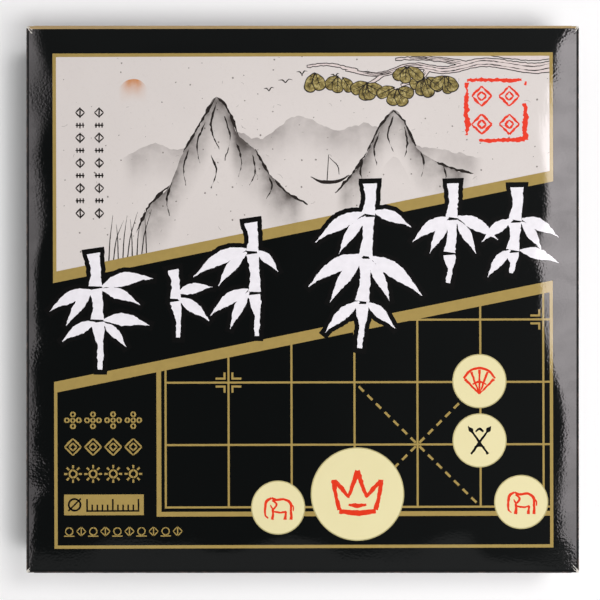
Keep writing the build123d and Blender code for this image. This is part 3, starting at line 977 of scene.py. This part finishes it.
engraved = {}
for rank in rank_marks:
    cutter = painting("cutter", rank_outlines(rank, 0, 0, piece_radius))
    thicken(cutter, (piece_high - cut_depth) * MM, (cut_depth + 1.0) * MM, merge=True)
    made = twin(blank, rank)
    pick(made)
    cut = made.modifiers.new("cut", "BOOLEAN")
    cut.operation, cut.solver, cut.object = "DIFFERENCE", "EXACT", cutter
    bpy.ops.object.modifier_apply(modifier="cut")
    bpy.data.objects.remove(cutter)
    # What lies below the marked face, from the ring's groove inwards, is painted
    for polygon in made.data.polygons:
        middle = polygon.center / MM
        inward = math.hypot(middle.x, middle.y) < groove_radius + groove_half
        polygon.material_index = int(inward and piece_high - painted_depth < middle.z < piece_high - 0.01)
    bpy.ops.object.shade_smooth_by_angle(angle=math.radians(35))
    engraved[rank] = made

random.seed(11)
for node in sorted(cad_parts):
    colour, _, rank = node.partition("_")
    rank = rank.split("_")[0]
    if rank not in engraved:
        continue
    low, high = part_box(node)
    made = twin(engraved[rank], node + "_piece")
    turn = math.radians(random.uniform(-28, 28))
    middle = Vector(((low.x + high.x) / 2, (low.y + high.y) / 2, low.z))
    made.data.transform(Matrix.Translation(middle) @ Matrix.Rotation(turn, 4, "Z"))
    grain = made.data.attributes.new("grain", "FLOAT", "POINT")
    own = random.uniform(0, 6.28)
    for value in grain.data:
        value.value = own
    made.data.materials.append(wood)
    made.data.materials.append(paints[colour])
    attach(made, "base")
    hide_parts(node)
for made in (blank, *engraved.values()):
    bpy.data.objects.remove(made)


# ---- Floor, lamps and camera: white paper, a tall softbox at each side whose reflections lie along the
# lid's side edges, and two key lamps to the right for the soft shadows at the left, the back and the front.
floor_size = 6.0
floor_gap = 0.2 * MM  # a hair of air under the base, so that no two faces lie in one plane
pick()
bpy.ops.mesh.primitive_plane_add(size=floor_size, location=(0, 0, -floor_gap))
floor = bpy.context.object
floor.name = "floor"
floor_white, add, shader, place = new_material("white_paper_sweep", Base_Color="#F6F6F6", Roughness=0.9,
                                               Specular_IOR_Level=0.0, Emission_Color="#FFFFFF")
# The camera sees the paper fade to white further out, where the lamps don't reach
away = add("MapRange", add("VectorMath", "LENGTH", place).outputs["Value"], 0.2, 1.0, 0.06, 1.0)
seen = add("LightPath").outputs["Is Camera Ray"]
feed(shader, Emission_Strength=add("MULTIPLY", seen, away))
coat(floor, floor_white)
floor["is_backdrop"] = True


lamp_height = 1.20


def softbox(name, across, forward, width, length, radiance):
    """An area lamp that faces straight down. Its power follows from its size and how bright its face is."""
    lamp = bpy.data.lights.new(name, "AREA")
    lamp.shape = "RECTANGLE"
    lamp.size, lamp.size_y = width, length
    lamp.energy = radiance * math.pi * width * length
    box = new_object(name, lamp)
    box.location = (across, forward, lamp_height)
    box.visible_camera = False
    return box


def cloth_face(lamp, side, edge, shifts, softness, falloff, cuts=()):
    """Shades a softbox as its cloth does: clouded, dimmer towards the front, with an inner edge that wavers
    and fades. Each shift moves the edge outwards as y goes from one value to another. A cut is a slanting
    line, and it says which side of it is kept."""
    lamp.data.use_nodes = True
    add = functools.partial(add_node, lamp.data.node_tree)
    place = add("NewGeometry").outputs["Position"]
    x, y, z = add("SeparateXYZ", place).outputs
    cloud = add("TexNoise", place, Scale=1 / (30 * MM), Detail=5.0, Roughness=0.75)
    cloud = add("MapRange", cloud, 0.3, 0.7, 0.78, 1.22)
    power = add("MULTIPLY", add("MapRange", y, *falloff), cloud)
    for start, end, shift in shifts:
        edge = add("ADD", edge, add("MapRange", y, start, end, 0.0, shift))
    inward = add("SUBTRACT", add("MULTIPLY", x, side), edge)
    inward = add("DIVIDE", inward, add("MapRange", y, 0.0, 0.1, *softness))
    fade = add("MapRange", inward, -1.0, interpolation_type="SMOOTHSTEP")
    power = add("MULTIPLY", power, fade)
    for slope, start, kept in cuts:
        line = add("MULTIPLY_ADD", x, slope, start)
        power = add("MULTIPLY", power, add(kept, y, line))
    feed(lamp.data.node_tree.nodes["Emission"], Strength=power)


right = softbox("softbox_right", 0.415, -0.11, 0.29, 0.90, 7.4)
right_shifts = ((-0.30, 0.30, -0.0168), (-0.05, -0.11, 0.0136), (-0.135, -0.245, -0.0125),
                (-0.25, -0.268, 0.0042), (0.19, 0.22, 0.006))
right_cuts = ((1.74, -0.263, "LESS_THAN"), (-0.922, 0.0023, "GREATER_THAN"))
cloth_face(right, 1, 0.3034, right_shifts, (0.0035, 0.0050), (-0.34, 0.05, 0.5), right_cuts)
left = softbox("softbox_left", -0.4075, -0.04, 0.25, 0.90, 2.4)
left_shifts = ((-0.05, -0.12, 0.0046), (-0.11, -0.14, 0.0016), (-0.185, -0.211, -0.0190),
               (-0.216, -0.236, 0.0113), (-0.24, -0.262, 0.0018), (0.09, 0.14, -0.0055),
               (0.215, 0.25, 0.0042), (0.27, 0.31, 0.0055))
cloth_face(left, -1, 0.3125, left_shifts, (0.0022, 0.0090), (-0.25, 0.10, 0.75))
left.visible_diffuse = False
for lamp in (right, left):
    lamp.data.color = (1.05, 0.98, 1.0)
for key in (("key_front", 0.27, -0.265, 0.46, 0.26, 21.5), ("key_back", 0.345, 0.284, 0.27, 0.22, 18.7)):
    softbox(*key).visible_glossy = False

# A room that is paler low down than overhead, with three faint panes straight above that the film mirrors.
# The camera sees plain white
world = bpy.data.worlds.new("studio")
bpy.context.scene.world = world
world.use_nodes = True
add = functools.partial(add_node, world.node_tree)
sideways, forwards, upwards = add("SeparateXYZ", add("TexCoord").outputs["Generated"]).outputs
power = add("MapRange", upwards, 0.15, 0.9, 0.42, 0.03)
overhead = add("MapRange", upwards, 0.92, 0.97)
left_end = add("MINIMUM", add("ADD", sideways, 0.106), 0.0)
slanted = add("MULTIPLY_ADD", left_end, -0.11, forwards)
for way, start, end, glow in ((sideways, -0.02, 0.18, 0.09), (forwards, 0.10, 0.18, 0.08),
                              (slanted, -0.169, -0.175, 0.24)):
    part = add("MapRange", way, start, end, 0.0, glow)
    power = add("MULTIPLY_ADD", part, overhead, power)
power = add("MAXIMUM", power, add("LightPath").outputs["Is Camera Ray"])
feed(world.node_tree.nodes["Background"], Color="#FFFFFF", Strength=power)

camera_data = bpy.data.cameras.new("camera")
camera_data.lens = 85.0
camera_data.sensor_width = 36.0
camera = new_object("camera", camera_data)
bpy.context.scene.camera = camera
# A square picture that is 217 mm wide where the lid's panel is
picture_width = 217.0 * MM
distance = picture_width * camera_data.lens / camera_data.sensor_width
camera.location = (-0.97 * MM, -0.24 * MM, lid_high.z + distance)

bpy.context.scene.view_settings.view_transform = "Standard"

low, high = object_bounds()
